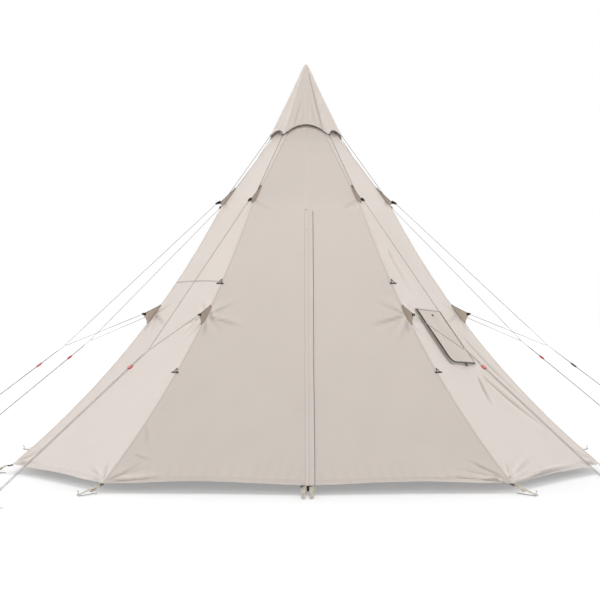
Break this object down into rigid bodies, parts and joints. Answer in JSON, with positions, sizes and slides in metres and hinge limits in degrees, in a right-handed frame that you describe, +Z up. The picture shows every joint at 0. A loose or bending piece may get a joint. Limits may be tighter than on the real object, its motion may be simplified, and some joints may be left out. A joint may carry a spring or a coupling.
{
  "type": "teepee tent",
  "caption": "Pole-supported teepee tent with a flared skirt, a zipped front door, a vented peak cap, a stove-pipe panel, pegged hem straps and adjustable guy lines.",
  "frame": {"origin": "ground point under the centre pole", "axes": "+Z up along the pole; the zipped door faces -Y; +X is to the right of someone who faces the door from outside"},
  "size_m": [5.4144, 5.5706, 2.86],
  "materials": {
    "canopy_fabric": "matte woven",
    "seam_tape": "matte",
    "webbing": "woven webbing",
    "gusset_fabric": "matte woven",
    "heatproof_fabric": "coated",
    "mesh_fabric": "mesh",
    "black_tape": "woven tape",
    "black_plastic": "satin",
    "red_plastic": "anodised look",
    "cord": "braided",
    "steel": "zinc plated",
    "pole_aluminium": "satin",
    "rubber": "matte"
  },
  "bodies": {
    "canopy": {"panel_rear": "canopy_fabric", "panel_left_rear": "canopy_fabric", "panel_left_side": "canopy_fabric", "panel_left_front": "canopy_fabric", "panel_right_front": "canopy_fabric", "panel_right_side": "canopy_fabric", "panel_right_rear": "canopy_fabric", "panel_front_left": "canopy_fabric", "panel_front_right": "canopy_fabric", "zip_top": "black_tape", "vent_cap": "canopy_fabric", "cap_binding": "black_tape", "vent_mesh": "mesh_fabric", "crown": "gusset_fabric", "hem_webbing": "webbing", "ridge_tapes": "seam_tape", "upper_gussets": "gusset_fabric", "lower_gussets": "gusset_fabric", "gusset_rings": "steel", "stove_panel": "heatproof_fabric", "stove_strap": "black_tape", "pole_lower": "pole_aluminium", "pole_middle": "pole_aluminium", "pole_upper": "pole_aluminium", "pole_foot": "rubber", "pole_head": "black_plastic", "corner_straps": "webbing", "strap_buckles": "black_plastic", "strap_pegs": "steel", "guy_pegs": "steel", "guy_rings": "steel", "guy_line_front_right": "cord", "guy_line_side_front_right": "cord", "guy_line_side_rear_right": "cord", "guy_line_rear_right": "cord", "guy_line_rear_left": "cord", "guy_line_side_rear_left": "cord", "guy_line_side_front_left": "cord", "guy_line_front_left": "cord", "cap_cords": "cord"},
    "door_left": {"door_left": "canopy_fabric", "zip_tape_left": "black_tape", "storm_flap": "canopy_fabric"},
    "door_right": {"door_right": "canopy_fabric", "zip_tape_right": "black_tape"},
    "zip": {"zip_slider": "steel", "zip_pull": "black_plastic"},
    "toggle_left_upper": {"toggle_left_upper": "black_plastic"},
    "toggle_left_lower": {"toggle_left_lower": "black_plastic"},
    "toggle_right_upper": {"toggle_right_upper": "black_plastic"},
    "toggle_right_lower": {"toggle_right_lower": "black_plastic"},
    "stove_cover": {"stove_cover": "canopy_fabric"},
    "tensioner_front_right": {"tensioner_front_right": "red_plastic"},
    "tensioner_side_front_right": {"tensioner_side_front_right": "red_plastic"},
    "tensioner_side_rear_right": {"tensioner_side_rear_right": "red_plastic"},
    "tensioner_rear_right": {"tensioner_rear_right": "red_plastic"},
    "tensioner_rear_left": {"tensioner_rear_left": "red_plastic"},
    "tensioner_side_rear_left": {"tensioner_side_rear_left": "red_plastic"},
    "tensioner_side_front_left": {"tensioner_side_front_left": "red_plastic"},
    "tensioner_front_left": {"tensioner_front_left": "red_plastic"}
  },
  "joints": [
    {"name": "door_left_swing", "type": "hinge", "parent": "canopy", "child": "door_left", "pos_m": [-1.15, -2.04347, 0.06], "axis": [-0.4751, -0.5514, -0.6858], "range_deg": [0, 95]},
    {"name": "door_right_swing", "type": "hinge", "parent": "canopy", "child": "door_right", "pos_m": [1.15, -2.04347, 0.06], "axis": [-0.4751, 0.5514, 0.6858], "range_deg": [0, 95], "deforming": ["storm_flap"]},
    {"name": "zip_slide", "type": "hinge", "parent": "canopy", "child": "zip", "pos_m": [0, -5.72858, 4.62048], "axis": [-1, 0, 0], "range_deg": [0, 21.79]},
    {"name": "toggle_left_upper_swing", "type": "hinge", "parent": "canopy", "child": "toggle_left_upper", "pos_m": [-0.56552, -0.93291, 1.29757], "axis": [-0.8551, 0.5184, 0], "range_deg": [0, 90]},
    {"name": "toggle_left_lower_swing", "type": "hinge", "parent": "canopy", "child": "toggle_left_lower", "pos_m": [-0.83016, -1.36947, 0.72111], "axis": [-0.8551, 0.5184, 0], "range_deg": [0, 90]},
    {"name": "toggle_right_upper_swing", "type": "hinge", "parent": "canopy", "child": "toggle_right_upper", "pos_m": [0.56552, -0.93291, 1.29757], "axis": [-0.8551, -0.5184, 0], "range_deg": [0, 90]},
    {"name": "toggle_right_lower_swing", "type": "hinge", "parent": "canopy", "child": "toggle_right_lower", "pos_m": [0.83016, -1.36947, 0.72111], "axis": [-0.8551, -0.5184, 0], "range_deg": [0, 90]},
    {"name": "stove_cover_lift", "type": "hinge", "parent": "canopy", "child": "stove_cover", "pos_m": [0.82555, -0.80512, 1.08955], "axis": [-0.5694, -0.8193, 0.0676], "range_deg": [0, 150]},
    {"name": "tensioner_front_right_slide", "type": "slide", "parent": "canopy", "child": "tensioner_front_right", "axis": [0.4568, -0.7536, -0.4726], "range_m": [-0.1, 0.5]},
    {"name": "tensioner_side_front_right_slide", "type": "slide", "parent": "canopy", "child": "tensioner_side_front_right", "axis": [0.7447, -0.3168, -0.5875], "range_m": [-0.1, 0.5]},
    {"name": "tensioner_side_rear_right_slide", "type": "slide", "parent": "canopy", "child": "tensioner_side_rear_right", "axis": [0.7447, 0.3168, -0.5875], "range_m": [-0.1, 0.5]},
    {"name": "tensioner_rear_right_slide", "type": "slide", "parent": "canopy", "child": "tensioner_rear_right", "axis": [0.4169, 0.6878, -0.5943], "range_m": [-0.1, 0.5]},
    {"name": "tensioner_rear_left_slide", "type": "slide", "parent": "canopy", "child": "tensioner_rear_left", "axis": [-0.4169, 0.6878, -0.5943], "range_m": [-0.1, 0.5]},
    {"name": "tensioner_side_rear_left_slide", "type": "slide", "parent": "canopy", "child": "tensioner_side_rear_left", "axis": [-0.7447, 0.3168, -0.5875], "range_m": [-0.1, 0.5]},
    {"name": "tensioner_side_front_left_slide", "type": "slide", "parent": "canopy", "child": "tensioner_side_front_left", "axis": [-0.7447, -0.3168, -0.5875], "range_m": [-0.1, 0.5]},
    {"name": "tensioner_front_left_slide", "type": "slide", "parent": "canopy", "child": "tensioner_front_left", "axis": [-0.4568, -0.7536, -0.4726], "range_m": [-0.1, 0.5]}
  ]
}
